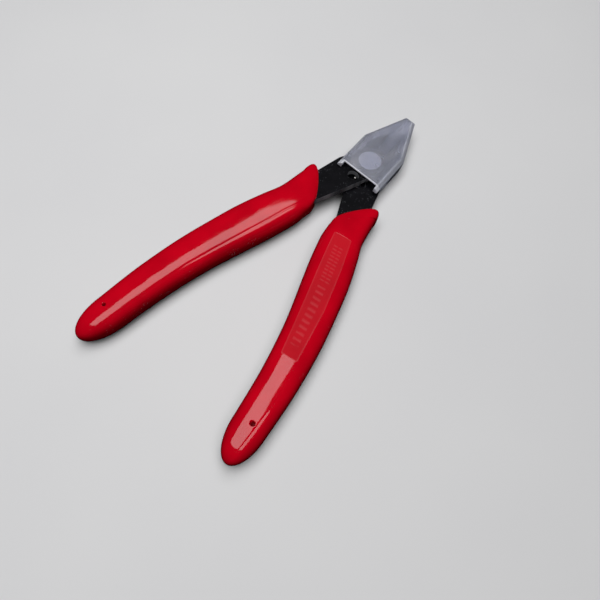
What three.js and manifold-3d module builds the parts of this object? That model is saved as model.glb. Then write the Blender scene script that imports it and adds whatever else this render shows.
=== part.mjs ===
// Side cutters with dipped grips, a lap joint on a rivet, a return spring and a protective jaw cap.
// Millimetres, +Z up. The tool points along +Y and lies flat. The model's origin is the middle of its
// footprint, on the surface it lies on. Sub-parts are drawn about the pivot, with z = 0 on the plane
// between the two lap plates. Arms and grips are drawn with the jaws closed, then turned open.
import * as THREE from 'three';
import { mergeVertices } from 'three/addons/utils/BufferGeometryUtils.js';
import { ConvexGeometry } from 'three/addons/geometries/ConvexGeometry.js';
import Module from 'manifold-3d';

const wasm = await Module();
wasm.setup();

// Stance
const midPlaneHeight = 5.0;      // plane between the lap plates, above the surface the tool lies on
const pivotY = 42.435;            // pivot, forward of the middle of the footprint
const openHalfAngle = 6.5;       // each arm's turn from jaws closed to handles released, degrees

// Arms: two copies of one stamping
const plateThickness = 2.5;
const lapGap = 0.3;              // between the two plates
const lapRadius = 6.0;           // round end of the lap plate
const heelRadius = 6.35;         // hollow in each jaw's heel, which clears the other plate
const pivotHoleRadius = 2.6;
const innerEdgeSlope = 16.6;     // straight inner edge, from the tool's axis, degrees
const flareAngle = 199.7;        // where the outer edge leaves the round end, degrees
const joggleStartY = -29;        // where the tang starts to step down to the middle plane
const joggleEndY = -37;

// Jaws
const jawBackY = 3.6;
const jawHeelY = 7.0;
const jawTipY = 16.4;
const jawHeelWidth = 4.9;
const jawTipWidth = 0.85;
const jawTipHalfHeight = 1.1;
const bevelHeelWidth = 2.3;      // cutting bevel, seen from above
const bevelTipWidth = 0.45;
const bevelEdgeHeight = 0.5;     // the cutting edge, above the jaw's flat underside

// Rivet
const rivetRadius = 2.5;
const rivetHeadRadius = 4.05;
const rivetRimHeight = 0.15;
const rivetDomeHeight = 0.5;
const rivetTailRadius = 3.1;
const rivetTailHeight = 0.3;
const rivetGap = 0.08;

// Return spring: one turn of wire round the rivet, in a groove in both plates
const wireRadius = 0.55;
const springRadius = 4.45;
const springLegX = [-0.05, 1.6]; // the left leg rises, the right leg drops
const springLegY = -8.3;
const springEndHeight = 1.7;
const springTurn = { start: -106, end: -420, steps: 20 };  // the ring, clockwise from the left leg
const grooveDepth = 0.6;
const grooveRadii = [3.7, 5.2];
const pocketRadius = 9.5;        // the groove opens into a sector for the two legs
const pocketAngles = [-112, -54];
const springHole = { x: 0.2, y: -8.9, halfWidth: 2.05, halfDepth: 1.75 };

// Grips
const gripHalfHeight = 5.06;     // a little more than the stance, which leaves a flat land below
const gripRoundness = 2.7;       // exponent of the section's superellipse
const gripWallGap = 0.3;
const gripCavityEndY = -103;
const gripSections = 24;
const gripRimPoints = 36;
const ventRadius = 0.75;         // dipping vent near the tail, open into the tang's cavity

// Jaw cap
const capHalfWidth = 8.7;
const capHalfHeight = 4.05;
const capChamfer = 1.2;
const capShoulderY = 8.0;
const capTipY = 25.65;
const capTipHalfWidth = 2.0;
const capRibEndY = -9.0;         // end of the two side ribs
const capWebEndY = -7.4;         // edge of the thin top and bottom between the ribs
const capWeb = 0.6;
const capInnerHalfWidth = 7.0;
const capInnerShoulderY = 9.0;
const capInnerNoseY = 24.1;
const capInnerNoseHalfWidth = 1.3;
const capSlotHalfHeight = 2.15;  // side slots that the arms pass through
const capSlotEndY = 0.5;
const capRoll = 6.5;             // the loose cap leans across the stepped plates, degrees
const capShift = { x: 0.5, z: -0.05 };

const degrees = Math.PI / 180;
const reach = 130;               // longer than the whole tool
const plateTop = lapGap / 2 + plateThickness;

// Plan outlines of the left arm, jaws closed
const armOuterEdge = [[-5.65, -2.02], [-8.1, -5.6], [-8.75, -8.6], [-9.6, -15.4], [-10.7, -24]];
const tangOuterEdge = [[-10.7, -24], [-13.4, -44], [-15.1, -52.6], [-17.8, -69], [-19.2, -85], [-19.2, -96]];
const tangEnd = [[-17.6, -98.2], [-14.0, -98.2]];
const tangInnerEdge = [[-12.4, -96], [-12.3, -85], [-10.7, -69], [-8.0, -52.6], [-6.2, -44], [-4.4, -35]];
const tangNeck = [[-3.2, -29.6], [-1.9, -27.4]];

// Plan outlines of a grip on the left, from behind its front lip to where the tail starts to close
const gripOuterEdge = [[-13.1, -20.4], [-14.0, -30.2], [-15.8, -37.0], [-17.8, -45.3],
  [-19.2, -53.5], [-21.2, -69.8], [-21.9, -86], [-21.5, -101]];
const gripInnerEdge = [[-1.0, -31.4], [-1.0, -35.6], [-1.8, -41.0], [-2.8, -46.6],
  [-4.3, -53.5], [-7.5, -68.6], [-9.6, -84.7], [-10.5, -100]];

// Where each grip ends: the left one was dipped a little deeper, and is longer at both ends
const leftEnds = {
  lipOuter: [-12.3, -13.7], lipInner: [-1.1, -27.6], vent: [-17.2, -101.5], tail: [-16.1, -113.1],
};
const rightEnds = {
  lipOuter: [-12.4, -15.2], lipInner: [-1.3, -28.4], vent: [-16.7, -100.2], tail: [-15.9, -112.4],
};
const lipForward = [0.74, 0.67];
const lipRounding = [
  { t: 0, height: 0.6, width: 0.88, bulge: 0.7 },
  { t: 0.012, height: 0.79, width: 0.94, bulge: 0.65 },
  { t: 0.035, height: 0.93, width: 0.98, bulge: 0.5 },
  { t: 0.075, height: 1, width: 1, bulge: 0.3 },
  { t: 0.125, height: 1, width: 1, bulge: 0.1 },
];

// ---- making solids --------------------------------------------------------------------------------

function toManifold(geometry) {
  const bare = geometry.clone();
  bare.deleteAttribute('normal');
  bare.deleteAttribute('uv');
  const merged = mergeVertices(bare, 1e-5);
  return new wasm.Manifold(new wasm.Mesh({
    numProp: 3,
    vertProperties: new Float32Array(merged.attributes.position.array),
    triVerts: new Uint32Array(merged.index.array),
  }));
}

function toGeometry(solid) {
  const mesh = solid.getMesh();
  const geometry = new THREE.BufferGeometry();
  geometry.setAttribute('position', new THREE.BufferAttribute(new Float32Array(mesh.vertProperties), 3));
  geometry.setIndex(new THREE.BufferAttribute(new Uint32Array(mesh.triVerts), 1));
  geometry.computeVertexNormals();
  return geometry;
}

function mirroredInX(geometry) {
  const mirrored = geometry.clone().scale(-1, 1, 1);
  const index = mirrored.index.array;
  for (let i = 0; i < index.length; i += 3) {
    [index[i + 1], index[i + 2]] = [index[i + 2], index[i + 1]];
  }
  mirrored.computeVertexNormals();
  return mirrored;
}

function polygon(points) {
  return new THREE.Shape(points.map(([x, y]) => new THREE.Vector2(x, y)));
}

function slab(shape, z0, z1, curveSegments = 24) {
  const options = { depth: z1 - z0, bevelEnabled: false, curveSegments };
  return toManifold(new THREE.ExtrudeGeometry(shape, options).translate(0, 0, z0));
}

function rectangle(x0, y0, x1, y1) {
  return polygon([[x0, y0], [x1, y0], [x1, y1], [x0, y1]]);
}

function cylinder(radius, z0, z1, x = 0, y = 0) {
  return slab(new THREE.Shape().absarc(x, y, radius, 0, 2 * Math.PI), z0, z1);
}

function hull(points) {
  return toManifold(new ConvexGeometry(points.map((point) => new THREE.Vector3(...point))));
}

function curveThrough(points) {
  return new THREE.SplineCurve(points.map(([x, y]) => new THREE.Vector2(x, y)));
}

// ---- arms -----------------------------------------------------------------------------------------

function armPlan() {
  const shape = new THREE.Shape();
  shape.absarc(0, 0, lapRadius, -innerEdgeSlope * degrees, flareAngle * degrees);
  curveThrough(armOuterEdge).getPoints(12).forEach((p) => shape.lineTo(p.x, p.y));
  curveThrough(tangOuterEdge).getPoints(14).slice(1).forEach((p) => shape.lineTo(p.x, p.y));
  tangEnd.forEach(([x, y]) => shape.lineTo(x, y));
  curveThrough(tangInnerEdge).getPoints(14).forEach((p) => shape.lineTo(p.x, p.y));
  tangNeck.forEach(([x, y]) => shape.lineTo(x, y));
  return shape;
}

// The space a plate takes in side view: high at the lap, stepping to the middle plane in the grip.
// level is 1 for the upper arm and -1 for the lower one.
function plateSpace(extra, level) {
  const top = plateTop + extra;
  const bottom = lapGap / 2 - extra;
  const half = plateThickness / 2 + extra;
  const outline = polygon([
    [lapRadius + 1, bottom], [lapRadius + 1, top], [joggleStartY, top], [joggleEndY, half],
    [-reach, half], [-reach, -half], [joggleEndY, -half], [joggleStartY, bottom],
  ].map(([y, z]) => [y, z * level]));
  const geometry = new THREE.ExtrudeGeometry(outline, { depth: reach, bevelEnabled: false });
  const yzAlongX = new THREE.Matrix4().makeBasis(
    new THREE.Vector3(0, 1, 0), new THREE.Vector3(0, 0, 1), new THREE.Vector3(1, 0, 0),
  );
  return toManifold(geometry.applyMatrix4(yzAlongX).translate(-reach / 2, 0, 0));
}

function jawBlank() {
  const edge = lapGap / 2;
  const corners = [];
  for (const z of [-plateTop, plateTop]) {
    corners.push([edge, jawBackY, z], [jawHeelWidth, jawBackY, z], [jawHeelWidth, jawHeelY, z]);
    corners.push([edge, jawHeelY + 2, z], [jawHeelWidth - 0.75, jawHeelY + 2, z]);
  }
  for (const z of [-jawTipHalfHeight, jawTipHalfHeight]) {
    corners.push([edge, jawTipY, z], [jawTipWidth, jawTipY, z]);
  }
  return hull(corners);
}

// The wedge ground off above the cutting edge, wide at the heel and fine at the tip.
function bevelTool() {
  const behind = lapGap / 2 - 0.2;
  const edge = lapGap / 2;
  return hull([
    [behind, heelRadius, plateTop + 0.5],
    [edge + bevelHeelWidth, heelRadius, plateTop + 0.5],
    [behind, heelRadius, bevelEdgeHeight - plateTop],
    [behind, jawTipY + 1, jawTipHalfHeight + 0.5],
    [edge + bevelTipWidth, jawTipY + 1, jawTipHalfHeight + 0.5],
    [behind, jawTipY + 1, bevelEdgeHeight - jawTipHalfHeight],
  ]);
}

function jaw() {
  const otherPlate = cylinder(heelRadius, -plateTop - 1, lapGap / 2);
  return jawBlank().subtract(otherPlate).subtract(bevelTool());
}

// Half of the spring's groove, with the sector for its legs, cut into a plate's inner face.
function springGroove() {
  const [inner, outer] = grooveRadii;
  const [from, to] = pocketAngles;
  const floor = lapGap / 2 + grooveDepth;
  const ring = cylinder(outer, -1, floor).subtract(cylinder(inner, -2, floor + 1));
  const sector = new THREE.Shape();
  sector.absarc(0, 0, pocketRadius, from * degrees, to * degrees);
  sector.absarc(0, 0, inner, to * degrees, from * degrees, true);
  return ring.add(slab(sector, -1, floor, 8));
}

function springWindow() {
  const { x, y, halfWidth, halfDepth } = springHole;
  const oval = new THREE.Shape().absellipse(x, y, halfWidth, halfDepth, 0, 2 * Math.PI);
  return slab(oval, -1, plateTop + 1, 14);
}

function arm() {
  const plate = slab(armPlan(), -plateTop - 1, plateTop + 1).intersect(plateSpace(0, 1));
  const solid = plate
    .add(jaw())
    .subtract(cylinder(pivotHoleRadius, -plateTop - 1, plateTop + 1))
    .subtract(springGroove())
    .subtract(springWindow());
  return toGeometry(solid);
}

// ---- rivet and spring -------------------------------------------------------------------------------

function rivet() {
  const under = plateTop + rivetGap;
  const profile = [
    [0, -under - rivetTailHeight], [rivetTailRadius * 0.7, -under - rivetTailHeight],
    [rivetTailRadius, -under - rivetTailHeight * 0.4], [rivetTailRadius, -under],
    [rivetRadius, -under], [rivetRadius, under], [rivetHeadRadius, under],
    [rivetHeadRadius, under + rivetRimHeight],
  ];
  const domeSteps = 5;
  for (let i = 1; i <= domeSteps; i += 1) {
    const along = i / domeSteps;
    const rise = (rivetDomeHeight - rivetRimHeight) * (1 - (1 - along) ** 2);
    profile.push([rivetHeadRadius * (1 - along), under + rivetRimHeight + rise]);
  }
  const points = profile.map(([radius, z]) => new THREE.Vector2(radius, z));
  return new THREE.LatheGeometry(points, 48).rotateX(Math.PI / 2);
}

function spring() {
  const [left, right] = springLegX;
  const points = [[left, springLegY, springEndHeight], [left, springLegY, 0.8], [left, springLegY + 0.15, 0.15]];
  points.push([left, springLegY + 0.8, 0], [left, springLegY + 2.2, 0]);
  const { start, end, steps } = springTurn;
  for (let i = 0; i <= steps; i += 1) {
    const angle = (start + ((end - start) * i) / steps) * degrees;
    points.push([springRadius * Math.cos(angle), springRadius * Math.sin(angle), 0]);
  }
  points.push([right, springLegY + 2.2, 0], [right, springLegY + 0.8, 0]);
  points.push([right, springLegY + 0.15, -0.15], [right, springLegY, -0.8], [right, springLegY, -springEndHeight]);
  const path = new THREE.CatmullRomCurve3(points.map((p) => new THREE.Vector3(...p)), false, 'centripetal');
  const wire = new THREE.Shape().absarc(0, 0, wireRadius, 0, 2 * Math.PI);
  const options = { steps: 84, extrudePath: path, curveSegments: 6, bevelEnabled: false };
  return toGeometry(toManifold(new THREE.ExtrudeGeometry(wire, options)));
}

// ---- grips ------------------------------------------------------------------------------------------

// A superellipse between a point on the outer edge and one on the inner edge. The bulge pushes its
// middle forward.
function gripSection(outer, inner, halfHeight, bulge = 0) {
  const centre = outer.clone().add(inner).multiplyScalar(0.5);
  const half = outer.clone().sub(inner).multiplyScalar(0.5);
  const ring = [];
  for (let i = 0; i < gripRimPoints; i += 1) {
    const angle = (2 * Math.PI * i) / gripRimPoints;
    const side = Math.sign(Math.cos(angle)) * Math.abs(Math.cos(angle)) ** (2 / gripRoundness);
    const rise = Math.sign(Math.sin(angle)) * Math.abs(Math.sin(angle)) ** (2 / gripRoundness);
    const forward = bulge * (1 - side * side);
    const x = centre.x + side * half.x + forward * lipForward[0];
    const y = centre.y + side * half.y + forward * lipForward[1];
    ring.push(new THREE.Vector3(x, y, rise * halfHeight));
  }
  return ring;
}

function narrowed(outer, inner, factor) {
  const centre = outer.clone().add(inner).multiplyScalar(0.5);
  return [outer.clone().lerp(centre, 1 - factor), inner.clone().lerp(centre, 1 - factor)];
}

function gripRings(ends) {
  const outer = curveThrough([ends.lipOuter, ...gripOuterEdge]);
  const inner = curveThrough([ends.lipInner, ...gripInnerEdge]);
  const rings = lipRounding.map(({ t, height, width, bulge }) => {
    const [a, b] = narrowed(outer.getPoint(t), inner.getPoint(t), width);
    return gripSection(a, b, gripHalfHeight * height, bulge);
  });
  for (let i = 4; i <= gripSections; i += 1) {
    const t = i / gripSections;
    rings.push(gripSection(outer.getPoint(t), inner.getPoint(t), gripHalfHeight));
  }
  const tip = new THREE.Vector2(...ends.tail);
  for (const turn of [14, 28, 42, 55, 67, 77, 85]) {
    const forward = Math.sin(turn * degrees);
    const size = Math.cos(turn * degrees);
    const [a, b] = narrowed(outer.getPoint(1), inner.getPoint(1), size);
    const centre = a.clone().add(b).multiplyScalar(0.5);
    const shift = tip.clone().sub(centre).multiplyScalar(forward);
    rings.push(gripSection(a.add(shift), b.add(shift), gripHalfHeight * size ** 0.8));
  }
  return rings;
}

// Skin through rings of equal length, closed at both ends.
function loft(rings) {
  const count = rings[0].length;
  const last = (rings.length - 1) * count;
  const faces = [];
  for (let start = 0; start < last; start += count) {
    for (let i = 0; i < count; i += 1) {
      const a = start + i;
      const b = start + ((i + 1) % count);
      faces.push(a, a + count, b, b, a + count, b + count);
    }
  }
  for (let i = 1; i + 1 < count; i += 1) {
    faces.push(0, i, i + 1, last, last + i + 1, last + i);
  }
  const geometry = new THREE.BufferGeometry().setFromPoints(rings.flat());
  geometry.setIndex(faces);
  return toManifold(geometry);
}

// Room for the tang, a little larger all round, open at the front lip and running past the tang's end.
function tangCavity(level) {
  const shape = new THREE.Shape();
  const outer = curveThrough(tangOuterEdge).getPoints(14);
  const inner = curveThrough(tangInnerEdge).getPoints(14);
  shape.moveTo(armOuterEdge[2][0] - gripWallGap, armOuterEdge[2][1]);
  outer.forEach((p) => shape.lineTo(p.x - gripWallGap, p.y));
  shape.lineTo(tangEnd[0][0] - gripWallGap, gripCavityEndY);
  shape.lineTo(tangEnd[1][0] + gripWallGap, gripCavityEndY);
  inner.forEach((p) => shape.lineTo(p.x + gripWallGap, p.y));
  shape.lineTo(tangNeck[0][0] + gripWallGap, tangNeck[0][1]);
  shape.lineTo(tangNeck[1][0] + gripWallGap + 0.3, tangNeck[1][1]);
  shape.lineTo(lapRadius, 0);
  return slab(shape, -plateTop - 1, plateTop + 1).intersect(plateSpace(gripWallGap, level));
}

// level is 1 for the left grip, on the upper arm's tang, and -1 for the right one.
function grip(level, ends) {
  const standing = slab(rectangle(-reach, -reach, reach, reach), -midPlaneHeight, midPlaneHeight * 2);
  const vent = cylinder(ventRadius, 0, midPlaneHeight * 2, ...ends.vent);
  const solid = loft(gripRings(ends))
    .intersect(standing)
    .subtract(tangCavity(level))
    .subtract(vent);
  return toGeometry(solid);
}

// ---- jaw cap ----------------------------------------------------------------------------------------

function capOutline() {
  return polygon([
    [-capHalfWidth, capRibEndY - 5], [capHalfWidth, capRibEndY - 5], [capHalfWidth, capShoulderY],
    [capTipHalfWidth, capTipY], [-capTipHalfWidth, capTipY], [-capHalfWidth, capShoulderY],
  ]);
}

function capBody() {
  const flat = capHalfHeight - capChamfer;
  const geometry = new THREE.ExtrudeGeometry(capOutline(), {
    depth: 2 * flat,
    bevelThickness: capChamfer,
    bevelSize: capChamfer,
    bevelOffset: -capChamfer,
    bevelSegments: 1,
  });
  return toManifold(geometry.translate(0, 0, -flat));
}

function capHollow() {
  const outline = polygon([
    [-capInnerHalfWidth, -reach], [capInnerHalfWidth, -reach], [capInnerHalfWidth, capInnerShoulderY],
    [capInnerNoseHalfWidth, capInnerNoseY], [-capInnerNoseHalfWidth, capInnerNoseY],
    [-capInnerHalfWidth, capInnerShoulderY],
  ]);
  return slab(outline, capWeb - capHalfHeight, capHalfHeight - capWeb);
}

function cap() {
  const tall = capHalfHeight + 1;
  const wide = capHalfWidth + 1;
  const solid = capBody()
    .subtract(slab(rectangle(-wide, -reach, wide, capRibEndY), -tall, tall))
    .subtract(capHollow())
    .subtract(slab(rectangle(-capInnerHalfWidth, -reach, capInnerHalfWidth, capWebEndY), -tall, tall))
    .subtract(slab(rectangle(-wide, -reach, wide, capSlotEndY), -capSlotHalfHeight, capSlotHalfHeight));
  return toGeometry(solid);
}

// ---- the assembly -----------------------------------------------------------------------------------

const blackenedSteel = new THREE.MeshStandardMaterial({ color: 0x1d1d1f, roughness: 0.45, metalness: 0.8 });
const brightSteel = new THREE.MeshStandardMaterial({ color: 0xc9c8c4, roughness: 0.3, metalness: 1 });
const springSteel = new THREE.MeshStandardMaterial({ color: 0x8f8f90, roughness: 0.3, metalness: 1 });
const redVinyl = new THREE.MeshStandardMaterial({ color: 0xc00020, roughness: 0.25, metalness: 0 });
const frostedPlastic = new THREE.MeshStandardMaterial({ color: 0xb9bcc6, roughness: 0.45, metalness: 0 });

function named(name, geometry, material) {
  const mesh = new THREE.Mesh(geometry, material);
  mesh.name = name;
  return mesh;
}

function leftHalf() {
  const half = new THREE.Group();
  half.add(named('upper_arm', arm(), blackenedSteel));
  half.add(named('left_grip', grip(1, leftEnds), redVinyl));
  half.rotation.z = -openHalfAngle * degrees;
  return half;
}

function rightHalf() {
  const half = new THREE.Group();
  const lowerArm = named('lower_arm', arm(), blackenedSteel);
  lowerArm.rotation.y = Math.PI;
  half.add(lowerArm);
  half.add(named('right_grip', mirroredInX(grip(-1, rightEnds)), redVinyl));
  half.rotation.z = openHalfAngle * degrees;
  return half;
}

function leaningCap() {
  const mesh = named('jaw_cap', cap(), frostedPlastic);
  mesh.rotation.y = capRoll * degrees;
  mesh.position.set(capShift.x, 0, capShift.z);
  return mesh;
}

const cutters = new THREE.Group();
cutters.add(leftHalf(), rightHalf(), leaningCap());
cutters.add(named('pivot_rivet', rivet(), brightSteel));
cutters.add(named('return_spring', spring(), springSteel));
cutters.position.set(0, pivotY, midPlaneHeight);

export default cutters;
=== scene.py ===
"""Looks for the flush side cutters: dipped grips, blackened arms, rivet, spring and frosted jaw cap."""

import math

import bmesh
import bpy
import numpy as np
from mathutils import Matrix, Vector


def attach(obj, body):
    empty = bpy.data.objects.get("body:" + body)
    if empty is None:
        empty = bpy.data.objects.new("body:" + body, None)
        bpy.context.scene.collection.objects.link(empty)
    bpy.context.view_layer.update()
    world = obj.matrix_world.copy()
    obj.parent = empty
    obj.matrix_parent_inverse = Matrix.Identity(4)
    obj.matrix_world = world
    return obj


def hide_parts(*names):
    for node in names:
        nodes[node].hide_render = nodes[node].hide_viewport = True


MM = 0.001
PIVOT = (0.0, 42.435, 5.0)  # the pivot in the row frame, millimetres
CAP_MIDDLE, CAP_SHOULDER = 0.5, 8.0  # the cap's middle and where its taper starts, from the pivot
CAP_HALF_WIDTH, CAP_TAPER, CAP_MOUTH = 8.7, 0.38, -7.4
OPEN_ANGLE = math.radians(6.5)  # each half is turned this far from the closed tool

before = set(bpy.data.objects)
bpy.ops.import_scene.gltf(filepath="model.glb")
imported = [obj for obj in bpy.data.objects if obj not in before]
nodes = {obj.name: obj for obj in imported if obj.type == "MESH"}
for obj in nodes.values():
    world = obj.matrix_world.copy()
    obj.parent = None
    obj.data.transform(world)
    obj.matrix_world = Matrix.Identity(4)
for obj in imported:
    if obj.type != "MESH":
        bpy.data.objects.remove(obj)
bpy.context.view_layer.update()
scene = bpy.context.scene


# ---- small helpers --------------------------------------------------------------------------------


def spline(points, t):
    """A uniform Catmull-Rom curve through 2-D points, at parameters t from 0 to 1."""
    p = np.asarray(points, float)
    last = len(p) - 1
    along = np.clip(np.asarray(t, float), 0, 1) * last
    i = np.minimum(along.astype(int), last - 1)
    w = (along - i)[:, None]
    p0, p1, p2, p3 = p[np.maximum(i - 1, 0)], p[i], p[i + 1], p[np.minimum(i + 2, last)]
    v0, v1 = (p2 - p0) * 0.5, (p3 - p1) * 0.5
    return (2 * (p1 - p2) + v0 + v1) * w**3 + (3 * (p2 - p1) - 2 * v0 - v1) * w**2 + v0 * w + p1


def smooth_step(x, lo, hi):
    t = np.clip((x - lo) / (hi - lo), 0, 1)
    return t * t * (3 - 2 * t)


def window(x, lo, hi, soft):
    """1 between lo and hi, falling to 0 over soft outside them."""
    return smooth_step(x, lo - soft, lo) * (1 - smooth_step(x, hi, hi + soft))


def wave_noise(x, y, seed, octaves, scale):
    """Smooth pseudo-random field built from seeded sine waves, about -1 to 1."""
    waves_per_octave, finer, weaker = 4, 1.9, 0.6
    rng = np.random.default_rng(seed)
    total = np.zeros(np.broadcast(x, y).shape)
    weight = 0.0
    for k in range(octaves):
        for _ in range(waves_per_octave):
            heading = rng.uniform(0, 2 * np.pi)
            frequency = (finer**k) / scale * rng.uniform(0.7, 1.3)
            phase = rng.uniform(0, 2 * np.pi)
            height = weaker**k
            along = x * np.cos(heading) + y * np.sin(heading)
            total += height * np.sin(2 * np.pi * frequency * along + phase)
            weight += height
    return total / weight * 2.0


def to_row(points, side):
    """Points in the closed tool, relative to the pivot, to the row frame in metres.
    side is -1 for the left half, 1 for the right half, which is the left half mirrored."""
    p = np.asarray(points, float)
    c, s = math.cos(OPEN_ANGLE), math.sin(OPEN_ANGLE)
    x = p[:, 0] * c + p[:, 1] * s
    y = -p[:, 0] * s + p[:, 1] * c
    if side > 0:
        x = -x
    return np.stack([x + PIVOT[0], y + PIVOT[1], p[:, 2] + PIVOT[2]], 1) * MM


def mesh_object(name, verts, faces, material, smooth=True):
    """A new object with its faces turned outward and one material."""
    mesh = bpy.data.meshes.new(name)
    mesh.from_pydata([tuple(v) for v in verts], [], [tuple(f) for f in faces])
    mesh.validate()
    bm = bmesh.new()
    bm.from_mesh(mesh)
    bmesh.ops.recalc_face_normals(bm, faces=bm.faces)
    bm.to_mesh(mesh)
    bm.free()
    if smooth:
        mesh.polygons.foreach_set("use_smooth", [True] * len(mesh.polygons))
    mesh.materials.append(material)
    obj = bpy.data.objects.new(name, mesh)
    scene.collection.objects.link(obj)
    return obj


def grid_faces(rows, count):
    """Quads between neighbouring closed rings of count points each."""
    faces = []
    for r in range(rows - 1):
        for i in range(count):
            j = (i + 1) % count
            faces.append((r * count + i, (r + 1) * count + i, (r + 1) * count + j, r * count + j))
    return faces


def ring_solid(name, rings, material):
    """A closed mesh through rings of points, in millimetres from the pivot, with flat ends."""
    count = len(rings[0])
    verts = (np.concatenate(rings) + np.array(PIVOT)) * MM
    faces = grid_faces(len(rings), count)
    last = (len(rings) - 1) * count
    faces += [tuple(range(count)), tuple(range(last, last + count))]
    return mesh_object(name, verts, faces, material)


# ---- materials ------------------------------------------------------------------------------------


class Nodes:
    """A short way to write a node tree."""

    def __init__(self, name):
        self.material = bpy.data.materials.new(name)
        self.material.use_nodes = True
        self.tree = self.material.node_tree
        self.shader = self.tree.nodes["Principled BSDF"]
        self.coords = self.tree.nodes.new("ShaderNodeTexCoord")

    def new(self, kind, inputs=None, **settings):
        node = self.tree.nodes.new(kind)
        for key, value in settings.items():
            setattr(node, key, value)
        for key, value in (inputs or {}).items():
            self.put(node.inputs[key], value)
        return node

    def put(self, socket, value):
        if isinstance(value, bpy.types.NodeSocket):
            self.tree.links.new(value, socket)
        else:
            socket.default_value = value

    def noise(self, scale, detail, roughness=0.5, stretch=None):
        source = self.coords.outputs["Object"]
        if stretch:
            source = self.new("ShaderNodeMapping", {"Vector": source, "Scale": stretch}).outputs[0]
        inputs = {"Vector": source, "Scale": scale, "Detail": detail, "Roughness": roughness}
        return self.new("ShaderNodeTexNoise", inputs).outputs["Fac"]

    def cells(self, scale):
        inputs = {"Vector": self.coords.outputs["Object"], "Scale": scale}
        return self.new("ShaderNodeTexVoronoi", inputs).outputs["Distance"]

    def math(self, operation, a, b=0.0):
        return self.new("ShaderNodeMath", {0: a, 1: b}, operation=operation).outputs[0]

    def ramp(self, value, lo, hi, out_lo=0.0, out_hi=1.0):
        inputs = {"Value": value, "From Min": lo, "From Max": hi, "To Min": out_lo, "To Max": out_hi}
        return self.new("ShaderNodeMapRange", inputs).outputs["Result"]

    def mix(self, factor, a, b):
        node = self.new("ShaderNodeMix", data_type="RGBA")
        self.put(node.inputs[0], factor)
        self.put(node.inputs[6], a)
        self.put(node.inputs[7], b)
        return node.outputs[2]

    def attribute(self, name):
        return self.new("ShaderNodeAttribute", attribute_name=name).outputs["Fac"]

    def bump(self, height, strength, distance, normal=None):
        inputs = {"Height": height, "Strength": strength, "Distance": distance}
        if normal is not None:
            inputs["Normal"] = normal
        return self.new("ShaderNodeBump", inputs).outputs["Normal"]

    def finish(self, **inputs):
        for key, value in inputs.items():
            self.put(self.shader.inputs[key.replace("_", " ")], value)
        return self.material


def vinyl_material():
    n = Nodes("red_vinyl")
    base = (0.53, 0.0008, 0.0105, 1)
    deep = (0.43, 0.0005, 0.0085, 1)
    vent_painted_shade = (0.17, 0.0, 0.004, 1)
    dust = (0.62, 0.26, 0.27, 1)
    panel = (0.30, 0.0005, 0.006, 1)
    cloudy = n.ramp(n.noise(90, 3), 0.35, 0.7)
    colour = n.mix(cloudy, base, deep)
    # painted shade: inside the vent's pit the colour is much darker, standing in for the shade in the
    # hole
    colour = n.mix(n.attribute("pit"), colour, vent_painted_shade)
    # pale dust and rubbed flecks, mostly low on the sides
    fleck = n.math("MULTIPLY", n.ramp(n.noise(1500, 2, 0.6), 0.61, 0.67),
                   n.ramp(n.noise(210, 2), 0.52, 0.60))
    fleck = n.math("MULTIPLY", fleck, n.attribute("rub"))
    colour = n.mix(fleck, colour, dust)
    colour = n.mix(n.math("MULTIPLY", n.attribute("matte"), 0.2), colour, panel)
    rough = n.ramp(n.noise(420, 4), 0.3, 0.75, 0.05, 0.10)
    rough = n.math("ADD", rough, n.math("MULTIPLY", n.attribute("matte"), 0.82))
    rough = n.math("ADD", rough, n.math("MULTIPLY", fleck, 0.4))
    rough = n.math("ADD", rough, n.math("MULTIPLY", n.attribute("pit"), 0.9))
    fine = n.bump(n.noise(2600, 2), 0.035, 0.0001)
    grain = n.bump(n.math("MULTIPLY", n.noise(1400, 3), n.attribute("matte")), 0.18, 0.0001, fine)
    return n.finish(Base_Color=colour, Roughness=rough, Normal=grain, IOR=1.5)


def black_oxide_material():
    n = Nodes("blackened_steel")
    dark, worn = (0.0016, 0.0016, 0.0024, 1), (0.0048, 0.0046, 0.0062, 1)
    cut_metal_dark_plus_painted_light, cut_metal_bright_plus_painted_light = (0.055, 0.058, 0.066, 1), (0.36, 0.365, 0.39, 1)
    speck_and_painted_glint = (0.13, 0.135, 0.15, 1)
    top = n.mix(n.ramp(n.noise(160, 4), 0.3, 0.75), dark, worn)
    # the stamped sides, told from the top and bottom by which way they face, are bare streaked metal with
    # painted light: their colour is much lighter than the top, partly the cut metal's own colour, partly
    # painted light standing in for the light that the sides catch
    facing = n.new("ShaderNodeSeparateXYZ", {0: n.coords.outputs["Normal"]}).outputs["Z"]
    side = n.ramp(n.math("ABSOLUTE", facing), 0.35, 0.75, 1.0, 0.0)
    streaks = n.noise(320, 3, stretch=(1, 1, 0.12))
    cut_metal_plus_painted_light = n.mix(n.ramp(streaks, 0.35, 0.7), cut_metal_dark_plus_painted_light, cut_metal_bright_plus_painted_light)
    colour = n.mix(side, top, cut_metal_plus_painted_light)
    # painted glints: small bright specks in the colour, partly pale dust specks, partly painted glints
    # standing in for sparkle off the oxide
    sparkle = n.math("MULTIPLY", n.ramp(n.cells(1500), 0.28, 0.12), n.ramp(n.noise(500, 2), 0.47, 0.62))
    colour = n.mix(n.math("MULTIPLY", sparkle, 0.6), colour, speck_and_painted_glint)
    rough = n.ramp(n.noise(500, 4), 0.3, 0.7, 0.36, 0.52)
    height = n.math("ADD", n.noise(1900, 3), n.math("MULTIPLY", n.noise(300, 2), 0.7))
    return n.finish(Base_Color=colour, Roughness=rough, Metallic=0.0,
                    Normal=n.bump(height, 0.5, 0.00008), IOR=1.45, Specular_IOR_Level=0.09)


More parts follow.
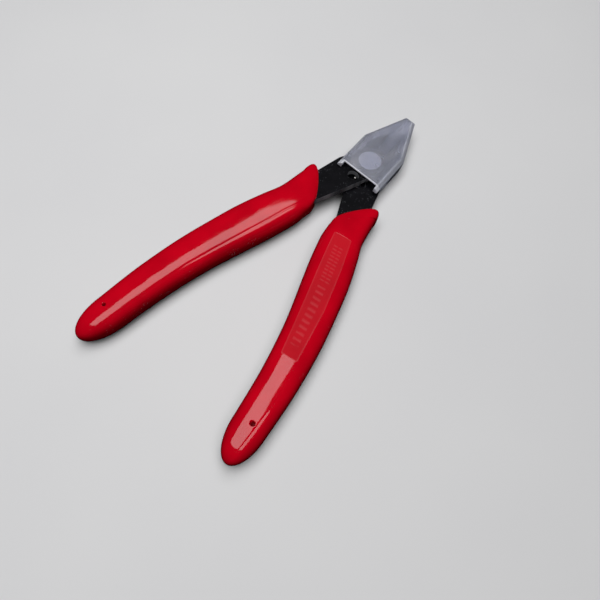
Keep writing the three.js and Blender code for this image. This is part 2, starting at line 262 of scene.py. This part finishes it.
def bright_steel_material():
    n = Nodes("bright_steel")
    spot = n.new("ShaderNodeMapping", {"Vector": n.coords.outputs["Object"],
                                       "Location": (-PIVOT[0] * MM, -PIVOT[1] * MM, 0)}).outputs[0]
    rings = n.new("ShaderNodeTexWave", {"Vector": spot, "Scale": 900, "Distortion": 1.5, "Detail": 2},
                  wave_type="RINGS", rings_direction="Z").outputs["Fac"]
    colour = n.mix(n.ramp(n.noise(500, 4), 0.3, 0.7), (0.97, 0.95, 0.94, 1), (0.88, 0.86, 0.85, 1))
    rough = n.ramp(n.noise(900, 3), 0.3, 0.7, 0.5, 0.62)
    return n.finish(Base_Color=colour, Metallic=0.3, Roughness=rough,
                    Normal=n.bump(rings, 0.12, 0.00005))


def spring_steel_material():
    n = Nodes("spring_steel")
    drawn = n.noise(1800, 3, stretch=(1, 1, 0.15))
    colour = n.mix(drawn, (0.5, 0.49, 0.47, 1), (0.3, 0.29, 0.28, 1))
    return n.finish(Base_Color=colour, Metallic=1.0, Roughness=n.ramp(drawn, 0.3, 0.7, 0.2, 0.34),
                    Normal=n.bump(drawn, 0.15, 0.00003))


def frosted_material():
    n = Nodes("frosted_plastic")
    place = n.new("ShaderNodeSeparateXYZ", {0: n.coords.outputs["Object"]})
    across = n.math("ABSOLUTE", n.math("SUBTRACT", place.outputs["X"], CAP_MIDDLE * MM))
    ahead = n.math("SUBTRACT", place.outputs["Y"], (PIVOT[1] + CAP_SHOULDER) * MM)
    # distance in from the cap's outline: straight sides, then the taper to the tip
    side = n.math("SUBTRACT", CAP_HALF_WIDTH * MM, across)
    taper = n.math("SUBTRACT", side, n.math("MULTIPLY", ahead, CAP_TAPER))
    inward = n.math("MINIMUM", side, taper)
    rim = CAP_MOUTH - CAP_SHOULDER
    mouth = n.ramp(ahead, (rim + 0.55) * MM, (rim + 0.25) * MM)
    border = n.math("MAXIMUM", n.ramp(inward, 0.0019, 0.0009, 0.0, 0.45), mouth)
    flow = n.noise(120, 4, 0.6, stretch=(1.3, 0.4, 1))
    colour = n.mix(n.ramp(flow, 0.3, 0.7), (0.50, 0.53, 0.65, 1), (0.76, 0.77, 0.87, 1))
    # painted light: over the walls and the mouth's rim the colour is painted lighter, standing in for the
    # light that the thick solid plastic gives back where no dark jaws lie beneath; the lower clearness
    # there is the walls' real thickness
    colour = n.mix(n.math("MULTIPLY", border, 0.85), colour, (0.84, 0.85, 0.91, 1))
    scratches = n.noise(600, 3, stretch=(1, 0.08, 1))
    rough = n.ramp(n.noise(300, 3), 0.3, 0.7, 0.20, 0.28)
    fine = n.bump(n.math("ADD", n.noise(2200, 2), n.math("MULTIPLY", scratches, 0.6)), 0.12, 0.00006)
    clear = n.ramp(n.math("ADD", n.math("MULTIPLY", flow, 0.5), border), 0.15, 1.3, 0.82, 0.35)
    return n.finish(Base_Color=colour, Roughness=rough, Transmission_Weight=clear, IOR=1.49, Normal=fine)


vinyl = vinyl_material()
black = black_oxide_material()
steel = bright_steel_material()
wire = spring_steel_material()
frosted = frosted_material()


# ---- grips ----------------------------------------------------------------------------------------

OUTER_EDGE = [(-13.4, -20.8), (-14.0, -30.2), (-15.8, -37.0), (-17.8, -45.3),
              (-19.2, -53.5), (-21.2, -69.8), (-21.9, -86.0), (-21.5, -101.0)]
INNER_EDGE = [(-1.0, -31.4), (-1.0, -35.6), (-1.8, -41.0), (-2.8, -46.6),
              (-4.3, -53.5), (-7.5, -68.6), (-9.6, -84.7), (-10.5, -100.0)]
# what differs between the two grips: front corners, vent and its radius, tail
LEFT_ENDS = {"outer": (-12.3, -13.7), "inner": (-1.1, -27.6),
             "vent": (-17.2, -101.5), "bore": 0.5, "tail": (-16.1, -113.1)}
RIGHT_ENDS = {"outer": (-12.4, -15.2), "inner": (-1.3, -28.4),
              "vent": (-16.7, -100.2), "bore": 0.68, "tail": (-15.9, -112.4)}
HALF_HEIGHT = 5.03
ROUNDNESS = 2.7  # exponent of the section away from the mouth
LIP_FORWARD = np.array([0.74, 0.67])  # the way the mouth faces
LIP_BULGE = 0.3  # how far the slot's edge bows forward
PLATE_MIDDLE = 1.4  # height of the arm's plate above the tool's middle plane, at the lip
# the rounded nose of the front lip, as offsets from the grip's two front corners
NOSE_OUTER = np.array([(1.9, -2.4), (0.8, -1.8), (-0.3, -1.9), (-1.0, -3.0), (-1.2, -4.9)])
NOSE_INNER = np.array([(-0.75, 1.6), (-0.3, 0.6), (0.0, -0.4), (0.15, -1.8)])
SLOT_OUTER = np.array([0.55, -0.5])
SLOT_INNER = np.array([0.12, -0.2])
NOSE_KEYS = [0, 0.1, 0.22, 0.4, 0.65, 1]
NOSE_BULGE = [0.55, 0.5, 0.45, 0.3, 0.15, 0]
WALL = 1.5  # side wall of the cavity round the tang
CAVITY_HALF_HEIGHT = 1.6
SLOT_HALF_HEIGHT = 1.36
LIP_HALF_HEIGHT = 1.42  # where the slot turns outward into the rim
SLOT_SQUARENESS, LIP_SQUARENESS = 14, 12
NOSE_END = 0.125  # share of the grip's edges where the nose's rings stop
VENT_START = 0.965  # share of the grip's edges from which the rings are closer together
CAVITY_END = 0.985
VENT_DEPTH = 2.3
FLOOR = -4.99  # the land that the grip rests on, relative to the pivot


def section_angles():
    """Angles round a grip's section, closer together over its top."""
    top = np.linspace(0.16 * np.pi, 0.84 * np.pi, 116, endpoint=False)
    side = np.linspace(0.84 * np.pi, 1.16 * np.pi, 18, endpoint=False)
    below = np.linspace(1.16 * np.pi, 1.84 * np.pi, 32, endpoint=False)
    other = np.linspace(1.84 * np.pi, 2.16 * np.pi, 18, endpoint=False)
    return np.concatenate([top, side, below, other])


def superellipse(angles, exponent):
    c, s = np.cos(angles), np.sin(angles)
    power = 2 / exponent
    return np.sign(c) * np.abs(c) ** power, np.sign(s) * np.abs(s) ** power


def height_at(reach):
    """Half height of the section at distance reach behind the mouth's rim."""
    return HALF_HEIGHT * (1 - 0.29 * np.exp(-reach / 5.5) - 0.07 * np.exp(-reach / 0.7))


def squareness_at(reach):
    """Exponent of the section, boxier at the mouth, where it hugs the flat arm."""
    return ROUNDNESS + 5.5 * np.exp(-reach / 2.2)


def grip_rings(ends, level):
    """Rings of (a, b, half height, bulge, exponent, middle height), from inside the mouth to the tail."""
    outer = [ends["outer"], *OUTER_EDGE]
    inner = [ends["inner"], *INNER_EDGE]
    nose_outer = [*(np.array(ends["outer"]) + NOSE_OUTER), *OUTER_EDGE[:2]]
    nose_inner = [*(np.array(ends["inner"]) + NOSE_INNER), *INNER_EDGE[:2]]

    def narrowed(a, b, factor):
        middle = (a + b) / 2
        return middle + (a - middle) * factor, middle + (b - middle) * factor

    rings = []
    rim_a, rim_b = np.array(nose_outer[0]), np.array(nose_inner[0])
    rim_middle = (rim_a + rim_b) / 2
    slot_a, slot_b = rim_a + SLOT_OUTER, rim_b + SLOT_INNER
    # the cavity round the tang, from its blind end forward to the mouth
    plate = PLATE_MIDDLE * level
    for t in np.linspace(CAVITY_END, NOSE_END, 24):
        pa, pb = spline(outer, [t])[0], spline(inner, [t])[0]
        wall = (pa - pb) / np.linalg.norm(pa - pb) * WALL
        rings.append((pa - wall, pb + wall, CAVITY_HALF_HEIGHT, 0, SLOT_SQUARENESS, plate))
    deep_a, deep_b = rings[-1][:2]
    # the mouth hugs the arm: a flat slot round the plate that opens into the cavity
    for w in (0.7, 0.4, 0.18, 0.06, 0.01):
        ring_a, ring_b = slot_a + (deep_a - slot_a) * w, slot_b + (deep_b - slot_b) * w
        height = SLOT_HALF_HEIGHT + (CAVITY_HALF_HEIGHT - SLOT_HALF_HEIGHT) * w
        rings.append((ring_a, ring_b, height, LIP_BULGE * (1 - w), SLOT_SQUARENESS, plate))
    for turn in np.linspace(8, 88, 12):
        s, c = math.sin(math.radians(turn)), math.cos(math.radians(turn))
        shift = LIP_FORWARD * LIP_BULGE * c * s
        ring_a, ring_b = slot_a + (rim_a - slot_a) * s, slot_b + (rim_b - slot_b) * s
        height = LIP_HALF_HEIGHT + (height_at(0) - LIP_HALF_HEIGHT) * s
        exponent = LIP_SQUARENESS + (squareness_at(0) - LIP_SQUARENESS) * s**0.5
        bulge = LIP_BULGE + (NOSE_BULGE[0] - LIP_BULGE) * s
        rings.append((ring_a + shift, ring_b + shift, height, bulge, exponent, plate * (1 - s)))
    for tau in np.linspace(0, 1, 42, endpoint=False):
        pa = spline(nose_outer, [tau * (len(nose_outer) - 2) / (len(nose_outer) - 1)])[0]
        pb = spline(nose_inner, [tau * (len(nose_inner) - 2) / (len(nose_inner) - 1)])[0]
        bulge = np.interp(tau, NOSE_KEYS, NOSE_BULGE)
        reach = np.linalg.norm((pa + pb) / 2 - rim_middle) + NOSE_BULGE[0] - bulge
        rings.append((pa, pb, height_at(reach), bulge, squareness_at(reach), 0))
    # rings are closer together where the vent is, either side of the start of the tail
    body = np.concatenate([np.linspace(NOSE_END, VENT_START, 320, endpoint=False),
                           np.linspace(VENT_START, 1, 30)])
    for t in body:
        pa, pb = spline(outer, [t])[0], spline(inner, [t])[0]
        reach = np.linalg.norm((pa + pb) / 2 - rim_middle) + NOSE_BULGE[0]
        rings.append((pa, pb, height_at(reach), 0, squareness_at(reach), 0))
    a, b = spline(outer, [1])[0], spline(inner, [1])[0]
    tip = np.array(ends["tail"])
    for turn in np.concatenate([np.linspace(0.45, 14, 30), np.linspace(15.5, 89.5, 38)]):
        s, c = math.sin(math.radians(turn)), math.cos(math.radians(turn))
        pa, pb = narrowed(a, b, c)
        shift = (tip - (pa + pb) / 2) * s
        rings.append((pa + shift, pb + shift, HALF_HEIGHT * c**0.8, 0, ROUNDNESS, 0))
    return rings


PANEL = {"from": -78.3, "to": -34.0, "depth": 0.075}
BAR_HEIGHT = 0.11


def panel_edges(y):
    """The sunk label panel's two long edges, at distance y along the handle."""
    keys = [-79, -60, -45, -34]
    return np.interp(y, keys, [-17.0, -15.5, -12.9, -10.4]), np.interp(y, keys, [-12.8, -9.6, -6.9, -5.2])


def bar_row(y, span, pitch, bar, soft):
    """1 on the bars that repeat every pitch along the handle, within span."""
    return window(y, *span, 0.12) * window(np.mod(y, pitch), *bar, soft)


def panel_relief(x, y):
    """How far inside the panel a point is, and how far up one of its plain raised bars, each 0 to 1."""
    left, right = panel_edges(y)
    inside = window(x, left, right, 0.16) * window(y, PANEL["from"], PANEL["to"], 0.16)
    across = x - (left + right) / 2
    large = bar_row(y, (-74.5, -53.5), 2.1, (0.5, 1.25), 0.14) * window(across, -1.25, 1.45, 0.14)
    small = bar_row(y, (-52.2, -38.0), 1.3, (0.3, 0.78), 0.12)
    small = small * (window(across, -1.6, -0.25, 0.12) + window(across, 0.25, 1.6, 0.12))
    return inside, (large + small) * inside


# the tang prints through the vinyl as a long shallow crease with a soft shoulder beside it
LEFT_CREASE = {
    "y": [-110, -97, -85, -75, -65, -55, -45, -38, -34, -30],
    "x": [-12.7, -12.3, -12.0, -11.2, -9.6, -7.8, -6.0, -4.9, -4.1, -3.2],
    "strength": [0.0, 0.35, 0.3, 0.5, 0.85, 1.0, 1.0, 1.0, 0.7, 0.0],
    "shoulder": 1.7,
}
RIGHT_CREASE = {
    "y": [-112, -107, -102, -97, -93, -88],
    "x": [-16.9, -17.6, -18.1, -18.3, -18.6, -18.9],
    "strength": [0.0, 1.0, 1.0, 0.9, 0.3, 0.0],
    "shoulder": -0.9,
}
CREASE_DEPTH, CREASE_WIDTH = 0.09, 0.4
SHOULDER_RISE, SHOULDER_WIDTH = 0.30, 1.15


def crease_relief(x, y, crease, upper):
    """Height of the crease and its shoulder over the grip's top."""
    middle = np.interp(y, crease["y"], crease["x"])
    strength = np.interp(y, crease["y"], crease["strength"])
    dz = -CREASE_DEPTH * strength * np.exp(-(((x - middle) / CREASE_WIDTH) ** 2)) * upper
    beside = x - middle - crease["shoulder"]
    return dz + SHOULDER_RISE * strength * np.exp(-((beside / SHOULDER_WIDTH) ** 2)) * upper


def grip(name, node, side, ends, level, with_panel):
    """One dipped grip. side is as in to_row, level is 1 or -1 as its arm is the upper or lower one."""
    angles = section_angles()
    sx, sz = {}, {}
    points = []
    rings = grip_rings(ends, level)
    for a, b, height, bulge, exponent, middle in rings:
        key = round(exponent, 3)
        if key not in sx:
            sx[key], sz[key] = superellipse(angles, exponent)
        u, w = sx[key], sz[key]
        centre, half = (a + b) / 2, (a - b) / 2
        forward = bulge * (1 - u * u)
        x = centre[0] + u * half[0] + forward * LIP_FORWARD[0]
        y = centre[1] + u * half[1] + forward * LIP_FORWARD[1]
        z = w * height + middle
        points.append(np.stack([x, y, z], 1))
    p = np.concatenate(points)
    x, y, z = p.T
    upper = smooth_step(z, 2.0, 3.6)
    dz = crease_relief(x, y, RIGHT_CREASE if with_panel else LEFT_CREASE, upper)
    # faint waviness of the dipped surface
    dz += 0.022 * wave_noise(x, y, 5 if with_panel else 8, 3, 14.0) * upper
    matte = np.zeros(len(p))
    if with_panel:
        inside, bars = panel_relief(x, y)
        dz += (-PANEL["depth"] * inside + BAR_HEIGHT * bars) * upper
        left, right = panel_edges(y)
        worn = window(x, left, right, 0.9) * window(y, PANEL["from"], PANEL["to"], 0.3)
        matte = worn * (1 - 0.35 * bars) * upper
    # vent, a blind pit with a soft rim; its mask also gives the material the vent's painted shade
    reach = np.hypot(x - ends["vent"][0], y - ends["vent"][1])
    pit = (1 - smooth_step(reach, ends["bore"] - 0.1, ends["bore"] + 0.12)) * upper
    dz += -VENT_DEPTH * pit + 0.02 * np.exp(-(((reach - ends["bore"] - 0.4) / 0.25) ** 2)) * upper
    z = np.maximum(z + dz, FLOOR)
    rub = np.exp(-(((z + 0.3) / 2.3) ** 2)) * window(y, -106, -32, 6)
    verts = to_row(np.stack([x, y, z], 1), side)
    count = len(angles)
    faces = grid_faces(len(rings), count)
    tail_end = len(verts)
    last = np.arange((len(rings) - 1) * count, len(rings) * count)
    verts = np.vstack([verts, verts[last].mean(0)])
    faces += [(last[i], last[(i + 1) % count], tail_end) for i in range(count)]
    faces.append(tuple(range(count)))
    obj = mesh_object(name, verts, faces, vinyl)
    for key, values in (("matte", matte), ("pit", pit), ("rub", rub)):
        layer = obj.data.attributes.new(key, "FLOAT", "POINT")
        layer.data.foreach_set("value", np.append(values, 0.0).astype(np.float32))
    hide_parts(node)
    return obj


left_grip = grip("dipped_grip_left", "left_grip", -1, LEFT_ENDS, 1, False)
right_grip = grip("dipped_grip_right", "right_grip", 1, RIGHT_ENDS, -1, True)
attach(left_grip, "upper_half")
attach(right_grip, "lower_half")


# ---- metal parts and cap ----------------------------------------------------------------------------


EDGE_ANGLE = math.radians(28)  # edges sharper than this are rounded


def soften(node, material, width):
    """The CAD node keeps its mesh. Modifiers join its triangles into flat faces and round its edges
    over width millimetres."""
    obj = nodes[node]
    obj.data.materials.clear()
    obj.data.materials.append(material)
    weld = obj.modifiers.new("weld", "WELD")
    weld.merge_threshold = 1e-6
    flat = obj.modifiers.new("flat", "DECIMATE")
    flat.decimate_type = "DISSOLVE"
    flat.angle_limit = math.radians(0.6)
    bevel = obj.modifiers.new("bevel", "BEVEL")
    bevel.width = width * MM
    bevel.segments = 3
    bevel.limit_method = "ANGLE"
    bevel.angle_limit = EDGE_ANGLE
    bevel.use_clamp_overlap = False
    obj.data.polygons.foreach_set("use_smooth", [True] * len(obj.data.polygons))
    # the bevel leaves slivers where short edges meet
    join = obj.modifiers.new("join", "WELD")
    join.merge_threshold = 3e-6
    obj.modifiers.new("normals", "WEIGHTED_NORMAL")


soften("upper_arm", black, 0.16)
soften("lower_arm", black, 0.16)
soften("jaw_cap", frosted, 0.22)


TIP_RADIUS = 0.01  # the smallest ring, so that an end closes without a pile of points


def rivet():
    """The rivet turned in one piece: domed head with a rolled rim, shank and upset tail."""
    plates, clearance = 2.65, 0.08
    under = plates + clearance  # where the head and the tail start
    shank, tail, dome, dome_rise, rim_rise = 2.5, 3.1, 3.78, 0.30, 0.19
    tail_steps, dome_steps, count = 8, 16, 128
    profile = [(0.0, -under - 0.30)]
    for k in range(1, tail_steps + 1):
        a = math.radians(90 * k / tail_steps)
        profile.append((2.7 + 0.4 * math.sin(a), -under - 0.12 - 0.18 * math.cos(a)))
    profile += [(tail, -under), (shank, -under), (shank, under)]
    # the head's rolled rim, then its dome
    profile += [(3.95, under), (4.03, under + 0.03), (4.05, under + 0.08), (4.02, under + 0.13)]
    profile += [(3.93, under + 0.17), (dome, under + rim_rise)]
    for k in range(1, dome_steps + 1):
        along = k / dome_steps
        profile.append((dome * (1 - along), under + rim_rise + dome_rise * (1 - (1 - along) ** 2)))
    ring = np.linspace(0, 2 * np.pi, count, endpoint=False)
    rings = []
    for radius, z in profile:
        radius = max(radius, TIP_RADIUS)
        rings.append(np.stack([radius * np.cos(ring), radius * np.sin(ring), np.full(count, z)], 1))
    obj = ring_solid("rivet_turned", rings, steel)
    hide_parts("pivot_rivet")
    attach(obj, "lower_half")


def blend(p, q, start, end, t):
    """The point at t on the line that is at p at start and at q at end."""
    return (p * (end - t) + q * (t - start)) / (end - start)


def centripetal_curve(points, samples):
    """A centripetal Catmull-Rom curve through 3-D points, with samples points in each span."""
    p = np.array(points, float)
    extended = np.vstack([2 * p[0] - p[1], p, 2 * p[-1] - p[-2]])
    path = []
    for i in range(len(p) - 1):
        q = extended[i:i + 4]
        steps = np.linalg.norm(np.diff(q, axis=0), axis=1) ** 0.5
        knots = np.concatenate([[0], np.cumsum(steps)])
        for t in np.linspace(knots[1], knots[2], samples, endpoint=False):
            a = [blend(q[k], q[k + 1], knots[k], knots[k + 1], t) for k in range(3)]
            b = [blend(a[k], a[k + 1], knots[k], knots[k + 2], t) for k in range(2)]
            path.append(blend(b[0], b[1], knots[1], knots[2], t))
    path.append(p[-1])
    return np.array(path)


def spring():
    """Round wire: a leg, one turn round the rivet between the plates, and the other leg."""
    coil, wire_radius, leg_y, leg_end = 4.45, 0.55, -8.3, 1.7
    left, right = -0.05, 1.6
    points = [(left, leg_y, leg_end), (left, leg_y, 0.8), (left, leg_y + 0.15, 0.15)]
    points += [(left, leg_y + 0.8, 0), (left, leg_y + 2.2, 0)]
    for a in np.radians(np.linspace(-106, -420, 21)):
        points.append((coil * math.cos(a), coil * math.sin(a), 0))
    points += [(right, leg_y + 2.2, 0), (right, leg_y + 0.8, 0), (right, leg_y + 0.15, -0.15)]
    points += [(right, leg_y, -0.8), (right, leg_y, -leg_end)]
    path = centripetal_curve(points, 8)
    tangent = np.gradient(path, axis=0)
    tangent /= np.linalg.norm(tangent, axis=1)[:, None]
    # the section is carried along the wire without twist
    side = np.cross(tangent[0], [0, 1, 0])
    frames = []
    for t in tangent:
        side = side - t * (side @ t)
        side /= np.linalg.norm(side)
        frames.append((side.copy(), np.cross(t, side)))
    ring = np.linspace(0, 2 * np.pi, 20, endpoint=False)
    # both cut ends are closed with a small chamfer
    chamfer, middle = [TIP_RADIUS, 0.34, 0.5], len(path) - 2
    thickness = chamfer + [wire_radius] * middle + chamfer[::-1]
    where = [0, 0, 0] + list(range(1, len(path) - 1)) + [len(path) - 1] * 3
    shift = [0, 0, 0.05] + [0] * middle + [-0.05, 0, 0]
    rings = []
    for r, k, s in zip(thickness, where, shift):
        u, v = frames[k]
        around = np.cos(ring)[:, None] * u + np.sin(ring)[:, None] * v
        rings.append(path[k] + tangent[k] * s + r * around)
    obj = ring_solid("spring_wire", rings, wire)
    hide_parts("return_spring")
    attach(obj, "lower_half")


rivet()
spring()


# ---- floor, light and camera --------------------------------------------------------------------------


def floor():
    n = Nodes("pale_floor")
    shade = n.mix(n.ramp(n.noise(9, 3), 0.3, 0.7), (0.60, 0.60, 0.61, 1), (0.63, 0.63, 0.635, 1))
    material = n.finish(Base_Color=shade, Roughness=0.75, Normal=n.bump(n.noise(900, 3), 0.03, 0.0002))
    size = 3.0
    verts = [(-size, -size, 0), (size, -size, 0), (size, size, 0), (-size, size, 0)]
    obj = mesh_object("studio_floor", verts, [(0, 1, 2, 3)], material, smooth=False)
    # hidden from reflections and from bounced light, so that the sides of the grips stay dark
    obj.visible_glossy = False
    obj.visible_diffuse = False


def soft_box():
    """A rectangular lamp that faces straight down and gives the grips their long highlights."""
    data = bpy.data.lights.new("soft_box", "AREA")
    data.shape = "RECTANGLE"
    data.size, data.size_y = 0.215, 0.50
    data.energy = 1.08
    obj = bpy.data.objects.new("soft_box", data)
    obj.location = (-0.072, 0.0, 0.405)
    scene.collection.objects.link(obj)


def wash():
    """A broad lamp that lights the scene and is hidden from reflections."""
    data = bpy.data.lights.new("wash", "SUN")
    data.energy = 1.8
    data.angle = math.radians(56)
    obj = bpy.data.objects.new("wash", data)
    obj.rotation_euler = (math.radians(5), math.radians(5), 0)
    obj.visible_glossy = False
    scene.collection.objects.link(obj)


floor()
soft_box()
wash()

world = bpy.data.worlds.new("studio")
scene.world = world
world.use_nodes = True
backdrop = world.node_tree.nodes["Background"]
backdrop.inputs["Color"].default_value = (0.42, 0.42, 0.425, 1)
backdrop.inputs["Strength"].default_value = 1.0
# the pale backdrop is only seen, it lights nothing
world.cycles_visibility.diffuse = False
world.cycles_visibility.glossy = False
world.cycles_visibility.transmission = False
scene.view_settings.view_transform = "Standard"

camera_data = bpy.data.cameras.new("camera")
camera_data.lens = 32.09
camera_data.sensor_width = 36
camera_data.shift_x = 0.05
camera = bpy.data.objects.new("camera", camera_data)
camera.location = Vector((45.85, -81.155, 156.0)) * MM
camera.rotation_euler = [math.radians(a) for a in (25.161, -2.827, 39.205)]
camera_data.clip_start = 0.01
scene.collection.objects.link(camera)
scene.camera = camera
